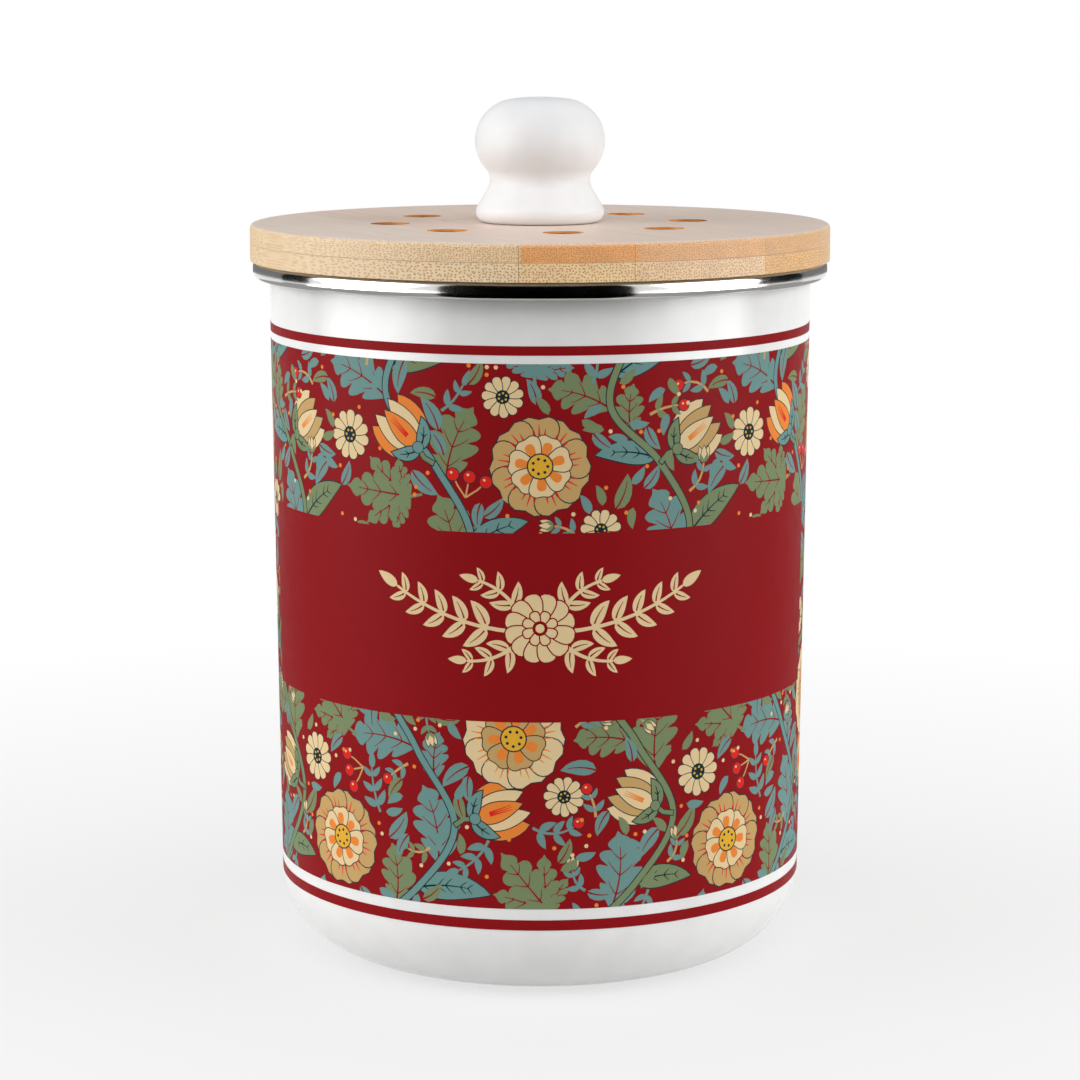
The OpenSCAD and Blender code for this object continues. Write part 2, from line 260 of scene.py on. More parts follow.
def knob_glaze():
    # Porcelain, slip cast and dipped in clear glaze: a cool white with a soft, wide shine over a
    # surface that waves by a few hundredths of a millimetre where the glaze ran.
    made, tree, shader = material(
        "Porcelain, cast and glazed", linear("EDEEEF"), 0.4, ior=1.52, specular_ior_level=0.25)
    waves = noise(tree, times(tree, in_mm(tree), (0.16, 0.16, 0.07)), 1, 1)
    dress(tree, shader, shades(tree, waves, "ECEDEE", "F1F1F2"), relief=waves, depth=0.05)
    return made


def seal_silicone():
    # Silicone rubber, pressure moulded: milky and soft to light, with a matt skin that picks up a
    # little dust.
    made, tree, shader = material("Silicone rubber, moulded", linear("DCDAD2"), 0.45, ior=1.43,
                                  subsurface_weight=0.15, subsurface_scale=0.002)
    dust = noise(tree, in_mm(tree), 0.6, 5)
    tone = shades(tree, dust, "DAD8D0", "E4E2DB", 0.35, 0.75)
    dress(tree, shader, tone, spread(tree, dust, 0, 1, 0.38, 0.55))
    return made


def tray_plastic():
    # Polypropylene, injection moulded in a tool with a spark-eroded skin: an even dark grey satin.
    # The grain, 0.4 mm across, is coarser than the real one so that it shows.
    made, tree, shader = material("Polypropylene, injection moulded", linear("4A4C4E"), 0.42, ior=1.49)
    place = in_mm(tree)
    grain = noise(tree, place, 2.5, 2)
    tone = shades(tree, noise(tree, place, 0.05, 1), "46484A", "505254")
    dress(tree, shader, tone, spread(tree, grain, 0, 1, 0.36, 0.5), grain, 0.02)
    return made


def charcoal_felt():
    # Polyester felt filled with activated charcoal, needled and die cut: black, dry and hairy, with
    # grey fibre ends 0.3 mm across and charcoal grains between them.
    made, tree, shader = material(
        "Charcoal felt, needled", linear("262728"), 0.95, ior=1.45, sheen_weight=0.3, sheen_roughness=0.5)
    place = in_mm(tree)
    bent = noise(tree, place, 0.3, 2)
    tangled = add(tree, "VectorMath", {0: bent.outputs["Color"], 1: (6, 6, 2), 2: place},
                  operation="MULTIPLY_ADD")
    hairs = noise(tree, tangled, 1.6, 6, 0.75)
    grains = add(tree, "TexVoronoi", {"Vector": place, "Scale": 0.9})
    height = maths(tree, "ADD", hairs, grains.outputs["Distance"])
    dress(tree, shader, shades(tree, hairs, "161718", "3C3D3F", 0.4, 0.62), relief=height, depth=0.35)
    return made


def turned_metal(name, colour, roughness):
    # Metal turned on a lathe: rings of tool marks, drawn 0.3 mm apart and twice as coarse as the
    # real ones, pull its highlights out across them.
    made, tree, shader = material(name, linear(colour), roughness, metallic=1.0)
    marks = noise(tree, in_rings(tree, in_mm(tree)), 3, 1)
    rough = spread(tree, marks, 0, 1, roughness - 0.08, roughness + 0.08)
    dress(tree, shader, rough=rough, relief=marks, depth=0.004)
    return made


# ---------------------------------------------------------------- shape tools

def arc(x, z, r, start, end, step=5.0):
    """Points on an arc about (x, z), with its angles in degrees."""
    count = max(2, math.ceil(abs(end - start) / step))
    turns = [math.radians(start + (end - start) * i / count) for i in range(count + 1)]
    return [(x + r * math.cos(a), z + r * math.sin(a)) for a in turns]


@cache
def reach(node):
    """How far a node reaches, in millimetres: (radius, lowest, highest)."""
    low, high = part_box(node)
    return high.x / MM, low.z / MM, high.z / MM


def put_in(name, data, place=(0, 0, 0)):
    """Puts an object in the scene."""
    made = bpy.data.objects.new(name, data)
    bpy.context.scene.collection.objects.link(made)
    made.location = place
    return made


def piece(name, mesh, body, materials, nodes=()):
    """Makes a mesh a piece that moves with a body and may stand for CAD nodes."""
    made = put_in(name, mesh)
    for finish in materials:
        mesh.materials.append(finish)
    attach(made, body)
    if nodes:
        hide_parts(*nodes)
    return made


def refinish(node, finish):
    """Gives a CAD node that stays in view its material."""
    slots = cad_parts[node].data.materials
    slots.clear()
    slots.append(finish)


def soften(mesh):
    """Smooth shading, broken at edges sharper than 32 degrees."""
    mesh.shade_smooth()
    mesh.set_sharp_from_angle(angle=math.radians(32))


def steady(made):
    """Keeps flat faces flat-shaded beside their rounded edges."""
    weighted = made.modifiers.new("Flat faces stay flat", "WEIGHTED_NORMAL")
    weighted.keep_sharp = True
    weighted.weight = 100


def turned(name, outline, facets=FACETS):
    """A mesh turned from its outline, (radius, height) pairs in millimetres that go round it."""
    points, rings, faces, places = [], [], [], []
    for r, z in outline:
        if r < 1e-6:
            rings.append([len(points)] * facets)
            points.append((0, 0, z * MM))
            continue
        rings.append(list(range(len(points), len(points) + facets)))
        turns = [2 * math.pi * i / facets for i in range(facets)]
        points += [(r * MM * math.cos(a), r * MM * math.sin(a), z * MM) for a in turns]
    lengths = [0.0]
    for (r0, z0), (r1, z1) in zip(outline, outline[1:] + outline[:1]):
        lengths.append(lengths[-1] + math.hypot(r1 - r0, z1 - z0))
    for k, low in enumerate(rings):
        high = rings[(k + 1) % len(rings)]
        if low[0] == low[1] and high[0] == high[1]:
            continue
        v0, v1 = lengths[k] / lengths[-1], lengths[k + 1] / lengths[-1]
        for i in range(facets):
            j = (i + 1) % facets
            corners = [(low[i], i, v0), (low[j], i + 1, v0), (high[j], i + 1, v1), (high[i], i, v1)]
            if low[0] == low[1]:
                del corners[1]
            if high[0] == high[1]:
                del corners[-1]
            faces.append([c[0] for c in corners])
            places += [(c[1] / facets, c[2]) for c in corners]
    mesh = bpy.data.meshes.new(name)
    mesh.from_pydata(points, [], faces)
    flat = mesh.uv_layers.new(name="OFBake")
    for spot, place in zip(flat.data, places):
        spot.uv = place
    soften(mesh)
    return mesh


def turned_piece(name, outline, body, finish, node, facets=FACETS):
    """A turned piece in one material that stands for a CAD node."""
    return piece(name, turned(name, outline, facets), body, [finish], [node])


def drill(made, bits):
    """Cuts bits out of a piece, which takes on their material where they cut, and removes them."""
    for tool in bits:
        cut = made.modifiers.new("Cut", "BOOLEAN")
        cut.object, cut.operation, cut.solver, cut.material_mode = tool, "DIFFERENCE", "EXACT", "TRANSFER"
    bpy.context.view_layer.update()
    graph = bpy.context.evaluated_depsgraph_get()
    mesh = bpy.data.meshes.new_from_object(made.evaluated_get(graph))
    made.modifiers.clear()
    made.data = mesh
    mesh.uv_layers.remove(mesh.uv_layers["OFBake"])
    for tool in bits:
        bpy.data.objects.remove(tool)
    soften(mesh)


def bit(mesh, finish, x=0.0, y=0.0):
    """A cutting bit at a place in millimetres."""
    mesh.materials.append(finish)
    return put_in("Bit", mesh, (x * MM, y * MM, 0))


# ---------------------------------------------------------------- drawing tools for the print
# The print is drawn flat, in millimetres: a point is a complex number, with the real part running
# round the wall and the imaginary part up it.

def cis(a):
    return cmath.rect(1, a)


def grown(points, by):
    """An outline moved outwards by a distance."""
    area = sum((a.conjugate() * b).imag for a, b in zip(points, points[1:] + points[:1]))
    side = -1j if area > 0 else 1j
    out = []
    for before, here, after in zip(points[-1:] + points[:-1], points, points[1:] + points[:1]):
        a, b = here - before, after - here
        a, b = a / (abs(a) or 1), b / (abs(b) or 1)
        n = (a + b) * side
        sharp = abs(n) < 0.5
        n = (a - b) / (abs(a - b) or 1) if sharp else n / abs(n)
        out.append(here + n * by * (1.5 if sharp else 1 / max(0.6, (n * (a * side).conjugate()).real)))
    return out


def inside(outline, p):
    """Whether an outline goes round a point."""
    turns = 0
    for a, b in zip(outline, outline[1:] + outline[:1]):
        if (a.imag > p.imag) != (b.imag > p.imag):
            if p.real < a.real + (p.imag - a.imag) * (b - a).real / (b - a).imag:
                turns += 1 if b.imag > a.imag else -1
    return turns != 0


def ribbon(path, start, end):
    """A stroke along a path, from one width to another."""
    last = len(path) - 1
    sides = []
    for i, p in enumerate(path):
        d = path[min(i + 1, last)] - path[max(i - 1, 0)]
        sides.append(1j * d / abs(d) * (start + (end - start) * i / last) / 2)
    return [p + n for p, n in zip(path, sides)] + [p - n for p, n in zip(path, sides)][::-1]


def bow(base, aim, length, bend, steps):
    """Points on a bow that leaves base at an angle and turns by bend: (points, headings)."""
    points, headings = [base], [aim]
    for i in range(steps):
        a = aim + bend * (i + 0.5) / steps
        points.append(points[-1] + cis(a) * length / steps)
        headings.append(aim + bend * (i + 1) / steps)
    return points, headings


def smooth(knots, steps=12):
    """A smooth path through knots."""
    ends = [knots[0] * 2 - knots[1]] + knots + [knots[-1] * 2 - knots[-2]]
    out = []
    for a, b, c, d in zip(ends, ends[1:], ends[2:], ends[3:]):
        for i in range(steps):
            t = i / steps
            out.append(0.5 * (2 * b + (c - a) * t + (2 * a - 5 * b + 4 * c - d) * t * t
                              + (3 * b - a - 3 * c + d) * t ** 3))
    return out + [knots[-1]]


def disc(centre, r, n=12):
    return [centre + r * cis(2 * math.pi * i / n) for i in range(n)]


def blade(base, aim, length, width, bend=0.0, lobes=0, depth=0.5, steps=10):
    """A leaf's outline, plain or lobed: (outline, midrib points, headings)."""
    steps = lobes * 6 if lobes else steps
    rib, headings = bow(base, aim - bend / 2, length, bend, steps)
    left, right = [], []
    for i in range(1, steps):
        t = i / steps
        w = width / 2 * math.sin(math.pi * t ** 0.75) ** 0.8
        lean = 0.0
        if lobes:
            w *= 1 - depth * (1 - abs(math.sin(math.pi * lobes * t)) ** 0.5)
            lean = 0.45 * w
        left.append(rib[i] + cis(headings[i]) * (lean + 1j * w))
        right.append(rib[i] + cis(headings[i]) * (lean - 1j * w))
    tip = rib[-1] + cis(headings[-1]) * (length * 0.04 if lobes else 0)
    return [base] + left + [tip] + right[::-1], rib, headings


def petal(centre, aim, near, far, width, notch=0.0, steps=8):
    """A petal's outline, with a notch in its tip."""
    left, right = [], []
    for i in range(steps):
        t = i / steps
        x = near + (far - near) * (1 - (1 - t) ** 1.7)
        w = width / 2 * math.sin(math.pi * (0.12 + 0.88 * t) ** 1.15) ** 0.7
        left.append(centre + cis(aim) * (x + 1j * w))
        right.append(centre + cis(aim) * (x - 1j * w))
    return left + [centre + cis(aim) * (far - notch)] + right[::-1]


class Repeat:
    """One repeat of the print: coloured outlines, the lowest layer first, and the places taken."""

    def __init__(self, width, height):
        self.width, self.height = width, height
        self.shapes, self.taken = [], set()
        self.across = round(width)

    def draw(self, ink, outline, edge=None, line=0.3):
        if edge:
            self.shapes.append((edge, grown(outline, line)))
        self.shapes.append((ink, outline))

    def cells(self, spots):
        """The square millimetres under round spots, given as (centre, radius)."""
        found = set()
        for centre, r in spots:
            for i in range(math.floor(centre.real - r), math.ceil(centre.real + r) + 1):
                for j in range(math.floor(centre.imag - r), math.ceil(centre.imag + r) + 1):
                    if abs(complex(i, j) - centre) <= r:
                        found.add((i % self.across, j))
        return found

    def take(self, spots, force=False):
        """Takes the places under spots. It says no where one is taken, unless forced."""
        cells = self.cells(spots)
        if not force and cells & self.taken:
            return False
        self.taken |= cells
        return True

    # ---- leaves and sprays

    def leaf(self, base, aim, length, width, bend, ink, vein, lobes=0, edge=None):
        outline, rib, headings = blade(base, aim, length, width, bend, lobes)
        last = len(rib) - 1
        self.draw(ink, outline, edge)
        self.draw(vein, ribbon(rib[:int(last * 0.88)], 0.6, 0.2))
        count = lobes or max(2, int(length / 3.2))
        for k in range(1, count):
            i = int(last * k / (count + 0.3))
            span = width / 2 * math.sin(math.pi * (i / last) ** 0.75) * 0.66
            if span < 1:
                continue
            for side in (1, -1):
                mid, _ = bow(rib[i], headings[i] + side * 0.95, span * 1.15, -side * 0.35, 3)
                self.draw(vein, ribbon(mid, 0.36, 0.14))

    def spray(self, base, aim, length, bend, ink, stem, tip, size=5.5):
        """A stem with small leaves on both sides. It is left out where it has no room."""
        steps = max(4, int(length / 2))
        path, headings = bow(base, aim, length, bend, steps)
        spots = [(p, size * 0.62) for p in path[1::2]]
        if not self.take(spots):
            return False
        self.draw(stem, ribbon(path, 0.8, 0.5))
        for i in range(1, steps):
            if i % 2 == 0 and i < steps - 1:
                continue
            for side in ((1, -1) if i % 2 else (1,)):
                grow = size * (1.05 - 0.35 * i / steps)
                aim = headings[i] + side * 0.85
                self.draw(ink, blade(path[i], aim, grow, grow * 0.42, -side * 0.5, steps=6)[0])
        if tip == "leaf":
            self.draw(ink, blade(path[-1], headings[-1], size, size * 0.42, 0.3, steps=6)[0])
        elif tip == "bud":
            self.bell(path[-1], headings[-1], size * 0.95)
        else:
            berry = path[-1] + cis(headings[-1]) * 1.2
            self.draw("scarlet", disc(berry, 1.5), "night", 0.25)
            self.draw("cream", disc(berry + cis(2.2) * 0.5, 0.35, 6))
        return True

    def fan(self, middle, aim, r, ink):
        """Lobed leaves spread from one stalk. It is left out where it has no room."""
        if not self.take([(middle, r * 0.86), (middle + cis(aim) * r * 0.3, r * 0.72)]):
            return False
        base = middle - cis(aim) * r * 0.8
        for off, grow in ((1.15, 0.9), (-1.15, 0.9), (0.58, 1.35), (-0.58, 1.35), (0, 1.75)):
            self.leaf(base, aim + off, r * grow, r * grow * 0.52, off * 0.5, ink, "ground", 4)
        self.draw(ink, ribbon([base + cis(aim) * r * 0.3, base, base - cis(aim + 0.3) * r * 0.3], 1.0, 0.7))
        return True

    # ---- flowers

    def ring(self, ink, centre, count, turn, form, edge=None, line=0.3):
        """A ring of petals. Their form is near, far, width and, at will, notch and steps."""
        for k in range(count):
            self.draw(ink, petal(centre, turn + math.tau * k / count, *form), edge, line)

    def seeds(self, ink, centre, r, count, turn, out, dot):
        """A ring of dots, sized in shares of the flower's radius."""
        for k in range(count):
            self.draw(ink, disc(centre + cis(turn + math.tau * k / count) * r * out, r * dot, 5))

    def bloom(self, centre, r, turn, outer, streak, middle, heart):
        """A full blossom seen from the front: two rows of petals round a seeded eye."""
        self.take([(centre, r + 0.8)], True)
        self.ring(outer, centre, 9, turn, (r * 0.25, r, r * 0.78, r * 0.07), "night")
        for k in range(9):
            for off in (-0.17, 0, 0.17):
                a = turn + math.tau * k / 9 + off
                ends = [centre + cis(a) * r * 0.6, centre + cis(a) * r * (0.85 - abs(off) * 0.5)]
                self.draw(streak, ribbon(ends, 0.55, 0.15))
        self.ring(middle, centre, 7, turn + 0.3, (r * 0.15, r * 0.63, r * 0.5, r * 0.03), "night", 0.26)
        self.ring(heart, centre, 7, turn + 0.3, (r * 0.2, r * 0.5, r * 0.19))
        self.draw("gold", disc(centre, r * 0.24, 16), "night", 0.35)
        self.seeds("night", centre, r, 7, turn, 0.15, 0.035)

    def daisy(self, centre, r, turn):
        """A small flower of narrow petals. It is left out where it has no room."""
        if not self.take([(centre, r + 0.3)]):
            return False
        self.ring("cream", centre, 11, turn, (r * 0.25, r, r * 0.42, 0.0, 6), "night", 0.22)
        self.draw("night", disc(centre, r * 0.34, 14))
        self.seeds("gold", centre, r, 6, turn, 0.19, 0.06)
        return True

    def cup(self, base, aim, size, back, front, streak, sepal):
        """A cup-shaped flower from the side, with streaked petals over two sepals."""
        self.take([(base + cis(aim) * size * out, size * r) for out, r in ((0.3, 0.42), (0.7, 0.45))], True)
        for width, off, ink in ((0.5, 0.42, back), (0.42, 0.2, front)):
            for side in (1, -1):
                outline = blade(base, aim + side * off, size, size * width, -side * off * 1.8)[0]
                self.draw(ink, outline, "night", 0.26)
        self.draw(back, blade(base, aim, size * 0.9, size * 0.36)[0], "night", 0.26)
        for off in (-0.1, 0, 0.1):
            ends = [base + cis(aim + off) * size * 0.28, base + cis(aim + off * 0.6) * size * 0.7]
            self.draw(streak, ribbon(ends, 0.5, 0.14))
        foot, form = base - cis(aim) * size * 0.04, (size * 0.58, size * 0.24)
        for side in (1, -1):
            self.leaf(foot, aim + side * 0.9, *form, -side * 0.9, sepal, "night", edge="night")
        self.draw(sepal, disc(base, size * 0.1), "night", 0.2)

    def bell(self, base, aim, size):
        for off in (-0.34, 0.34, 0):
            self.draw("cream", blade(base, aim + off, size, size * 0.42, -off, steps=6)[0], "night", 0.2)
        for off in (-0.5, 0.5):
            self.draw("sage", blade(base, aim + off, size * 0.62, size * 0.26, -off * 1.4, steps=5)[0])

    def berries(self, base, aim, size):
        """Three berries on a forked stalk. It is left out where it has no room."""
        if not self.take([(base + cis(aim) * size * 0.75, size * 0.72)]):
            return False
        for k in (-1, 0, 1):
            end = base + cis(aim + k * 0.72) * size * (1.05 if k else 0.85)
            self.draw("sand", ribbon([base, (base + end) / 2 + cis(aim + 1.57) * 0.4 * k, end], 0.5, 0.4))
            self.draw("scarlet", disc(end, size * 0.25), "night", 0.25)
            self.draw("cream", disc(end + cis(2.2) * size * 0.1, size * 0.06, 5))
        return True


def flowered_repeat(width, height):
    """Two climbing stems with blossoms in their bends, and small sprays in the spaces between."""
    art = Repeat(width, height)
    rng = random.Random(11)
    left = smooth([6 - 10j, 24 + 4j, 35 + 22j, 24 + 42j, 15 + 60j, 28 + 80j, 40 + 98j, 30 + 118j,
                   16 + 136j, 24 + 156j])
    right = smooth([66 - 10j, 84 + 6j, 95 + 24j, 84 + 44j, 74 + 62j, 88 + 82j, 99 + 100j, 90 + 118j,
                    76 + 134j, 84 + 156j])
    for stem in (left, right):
        art.take([(p, 1.6) for p in stem], True)
    blooms = (  # centre, radius, turn, inks
        (51 + 46j, 13.5, 0.2, ("cream", "orange", "sand", "orange")),
        (58 + 118j, 13.0, 0.9, ("sand", "scarlet", "cream", "orange")),
        (width - 2 + 14j, 13.0, 0.5, ("sand", "scarlet", "cream", "orange")),
        (width - 1 + 84j, 13.5, 0.1, ("cream", "orange", "sand", "orange")),
    )
    for centre, r, _, _ in blooms:
        art.take([(centre, r + 0.8)], True)
    cups = (  # place on the stem, heading, size, stem
        (35 + 22j, 0.35, 15, left), (95 + 24j, 2.7, 14, right), (28 + 80j, 2.5, 15, left),
        (88 + 82j, 0.3, 14, right), (74 + 62j, 2.3, 14, right), (15 + 60j, 2.6, 14, left),
        (30 + 118j, 2.4, 15, left), (90 + 118j, 0.6, 15, right),
    )
    stalk = 6  # from the stem to a cup
    for base, aim, size, _ in cups:
        for out, r in ((0.3, 0.4), (0.75, 0.42)):
            art.take([(base + cis(aim) * (stalk + size * out), size * r)], True)

    # Lobed leaves, left and right in turn along each stem
    for stem, inks in ((left, ("sage", "slate")), (right, ("slate", "sage"))):
        last = len(stem) - 1
        for k in range(22):
            i = int(last * (k + 0.5) / 22)
            aim = cmath.phase(stem[i + 1] - stem[i - 1])
            side = 1 if k % 2 else -1
            for length in (21, 17, 13, 10):
                heading = aim + side * rng.uniform(0.7, 1.0)
                middle = stem[i] + cis(heading + side * 0.15) * length * 0.58
                tip = stem[i] + cis(heading + side * 0.1) * length * 0.85
                if art.take([(middle, length * 0.27), (tip, length * 0.2)]):
                    share, *look = (0.36, "night", 0, "night") if k % 3 == 2 else (0.66, "ground", 4, None)
                    bend, ink = side * 0.6, inks[k // 2 % 2]
                    art.leaf(stem[i], heading, length, length * share, bend, ink, *look)
                    break
        art.draw(inks[1], ribbon(stem, 1.7, 1.7), "night", 0.28)

    for base, aim, size, stem in cups:
        end = base + cis(aim) * stalk
        path = [base, (base + end) / 2 + cis(aim + 1.57) * 0.8, end]
        art.draw("sage", ribbon(path, 1.2, 1.1), "night", 0.26)
        inks = (("cream", "sand", "orange", "sage"), ("orange", "cream", "scarlet", "slate"))[stem is left]
        art.cup(end, aim, size, *inks)
    for centre, r, turn, inks in blooms:
        art.bloom(centre, r, turn, *inks)

    # Fans of leaves, small flowers, berries and sprays where there is room, the larger ones first
    def anywhere():
        return complex(rng.uniform(0, width), rng.uniform(-6, height + 6))

    def flow(spot):
        return 1.57 + 1.1 * math.sin(spot.real * math.tau / width * 2 + spot.imag * 0.06)

    kinds = (("fan", 11.5, 4), ("daisy", 6.6, 4), ("fan", 9.2, 5), ("daisy", 5.4, 5), ("fan", 7.4, 6))
    for kind, r, most in kinds:
        for _ in range(500):
            spot = anywhere()
            if not most:
                continue
            if kind == "fan":
                aim = flow(spot) + rng.uniform(-0.9, 0.9)
                most -= art.fan(spot, aim, r, rng.choice(("sage", "sage", "slate")))
            else:
                most -= art.daisy(spot, r, rng.uniform(0, 3))
    most = 6
    for _ in range(200):
        if most and art.berries(anywhere(), rng.uniform(0, math.tau), 6.5):
            most -= 1
    for length, size in ((22, 6.4), (17, 5.8), (12, 5.2), (9, 4.6), (7, 4.0)):
        for _ in range(500):
            spot = anywhere()
            art.spray(spot, flow(spot) + rng.choice((0, 0, 3.14)), length, rng.uniform(-1.3, 1.3),
                      rng.choice(("slate", "slate", "sage")), rng.choice(("sand", "slate")),
                      rng.choice(("leaf", "leaf", "bud", "berry")), size)
    for length, tries in ((10, 900), (7.6, 1300), (5.8, 1800)):
        for _ in range(tries):
            spot, a = anywhere(), rng.uniform(0, math.tau)
            if art.take([(spot, length * 0.2), (spot + cis(a) * length * 0.36, length * 0.2)]):
                base = spot - cis(a) * length * 0.26
                ink = rng.choice(("slate", "sage"))
                art.draw(ink, blade(base, a, length, length * 0.42, 0.7, steps=6)[0])
                if length > 7:
                    art.draw("ground", ribbon(bow(base, a - 0.35, length * 0.8, 0.56, 5)[0], 0.5, 0.2))
    for _ in range(1500):
        spot = anywhere()
        if art.take([(spot, 1.3)]):
            art.draw(rng.choice(("orange", "cream")), disc(spot, 0.6, 6))
    return art


def panel_spray(art, middle):
    """A pale spray of leaves round one flower, drawn without outlines."""
    stems = ((-1, 0.05, 36, 0.5, 8.6), (3, 1.15, 15, -0.9, 6.6), (-3, -0.85, 16, 0.9, 6.6))
    for lift, aim, length, bend, size in stems:
        right, headings = bow(complex(5, lift), aim, length, bend, 12)
        for side in (1, -1):
            path = [middle + complex(side * p.real, p.imag) for p in right]
            turns = [a if side > 0 else math.pi - a for a in headings]
            art.draw("cream", ribbon(path, 1.1, 0.7))
            for i in range(3, 12, 2 if length > 30 else 4):
                for turn in (1, -1):
                    grow = size * (1.1 - 0.5 * i / 12)
                    aim = turns[i] + turn * 0.85
                    outline, rib, _ = blade(path[i], aim, grow, grow * 0.42, -turn * 0.6, steps=8)
                    art.draw("cream", outline)
                    art.draw("ground", ribbon(rib[1:7], 0.45, 0.15))
            art.draw("cream", blade(path[-1], turns[-1], size * 0.8, size * 0.34, 0, steps=8)[0])
    for r, n in ((9.2, 12), (4.6, 8)):
        for k in range(n):
            art.draw("cream", petal(middle, math.tau * (k + 0.5) / n, r * 0.25, r, r * 0.5), "ground", 0.35)
    art.draw("ground", disc(middle, 2.0, 16))
    art.draw("cream", disc(middle, 1.2, 12))


# ---------------------------------------------------------------- properties

def size(name, description, default):
    return bpy.props.FloatProperty(
        name=name, description=description, default=default * MM, min=0, subtype="DISTANCE", unit="LENGTH")


def shade(name, description, code):
    return bpy.props.FloatVectorProperty(
        name=name, description=description, default=linear(code)[:3], size=3, min=0, max=1, subtype="COLOR")


class CaddySizes(bpy.types.PropertyGroup):
    mouth_r: size("Wall radius", "Radius of the wall outside, at the level of the rim's top", 74.8)
    sheet_t: size("Sheet", "Thickness of the enamelled sheet", 0.9)
    corner_r: size("Corner", "Outside radius of the corner between wall and base", 23)
    stand_w: size("Standing ring", "Width of the flat ring that the canister stands on", 5)
    step_h: size("Step", "Rise of the stamped step inside the standing ring", 0.8)
    step_w: size("Step width", "Width of the slope of the stamped step", 3)
    dome_h: size("Dome", "Rise of the domed middle of the base above the step", 1.4)
    curl_r: size("Curl", "Outside radius of the rolled edge of the sheet", 1.8)
    curl_slot: size("Curl slot", "Slot between the end of the rolled edge and the wall", 0.3)
    band_t: size("Band", "Thickness of the stainless band", 0.5)
    band_gap: size("Band gap", "Gap between the rolled edge and the band", 0.05)
    band_square: bpy.props.FloatProperty(
        name="Band flatness", description="2 for a half round side of the band, more for a flatter one",
        default=3.2, min=2, max=8)
    band_lip: size("Band lip", "Length of the band's flat lip under the rolled edge", 0.8)
    round_top: size("Upper round", "Radius of the round on the lid's upper edge", 1.2)
    round_low: size("Lower round", "Radius of the round on the lid's lower edge", 0.2)
    vent_r: size("Vent", "Radius of an air vent", 5)
    vent_ring_r: size("Vent ring", "Radius of the ring of vents", 41.544)
    vent_bevel: size("Vent bevel", "Size of the bevel that breaks each vent's upper edge", 0.5)
    waist_r: size("Waist", "Radius of the knob's waist", 13.8)
    waist_h: size("Waist height", "Height of the knob's waist above the lid", 11.7)
    foot_w: size("Foot", "Radius of the knob's foot", 17.7)
    head_r: size("Head round", "Radius of the round at the knob's widest part", 11.5)
    crown_r: size("Crown", "Radius of the flat crown on top of the knob", 57)
    hollow_r: size("Hollow", "Radius of the hollow round the knob's waist", 4.5)
    foot_r: size("Foot round", "Radius of the round at the knob's foot", 3)
    print_lift: size("Print lift", "How far the fired print stands out from the enamel", 0.06)
    field_low: size("Field bottom", "Height of the lower edge of the printed flowers", 26.98)
    field_high: size("Field top", "Height of the upper edge of the printed flowers", 171.46)
    panel_low: size("Panel bottom", "Height of the lower edge of the plain panel in front", 77.4)
    panel_high: size("Panel top", "Height of the upper edge of the plain panel in front", 127.5)
    panel_w: size("Panel width", "Width of the plain panel, measured round the wall", 196)
    low_stripe_low: size("Lower stripe bottom", "Height of the lower stripe's lower edge", 21.18)
    low_stripe_high: size("Lower stripe top", "Height of the lower stripe's upper edge", 23.99)
    high_stripe_low: size("Upper stripe bottom", "Height of the upper stripe's lower edge", 173.62)
    high_stripe_high: size("Upper stripe top", "Height of the upper stripe's upper edge", 176.06)


class CaddyColours(bpy.types.PropertyGroup):
    ground: shade("Ground", "Red enamel ink of the ground, the panel and the stripes", "8F161B")
    night: shade("Outline", "Dark ink of the outlines", "14303A")
    slate: shade("Slate", "Blue-green ink of leaves and stems", "6F9692")
    sage: shade("Sage", "Green ink of leaves and stems", "7C8C66")
    cream: shade("Cream", "Pale ink of petals and of the panel's spray", "E9CF9F")
    sand: shade("Sand", "Ink of tendrils and stems", "C9A56B")
    orange: shade("Orange", "Ink of petals and their streaks", "EE8A3C")
    gold: shade("Gold", "Ink of the flowers' eyes", "E8B23A")
    scarlet: shade("Scarlet", "Ink of the berries", "E02B25")


def sizes(context):
    """The sizes set in the panel, in millimetres."""
    group = context.scene.caddy_sizes
    found = {key: getattr(group, key) / MM for key in CaddySizes.__annotations__}
    found["band_square"] = group.band_square
    return SimpleNamespace(**found)


# ---------------------------------------------------------------- the canister's outline

DRAFT = math.radians(0.61)


def wall_r(s, z):
    """Outside radius of the wall at a height, in millimetres."""
    return s.mouth_r - (reach("rim_band")[2] - z) * math.tan(DRAFT)


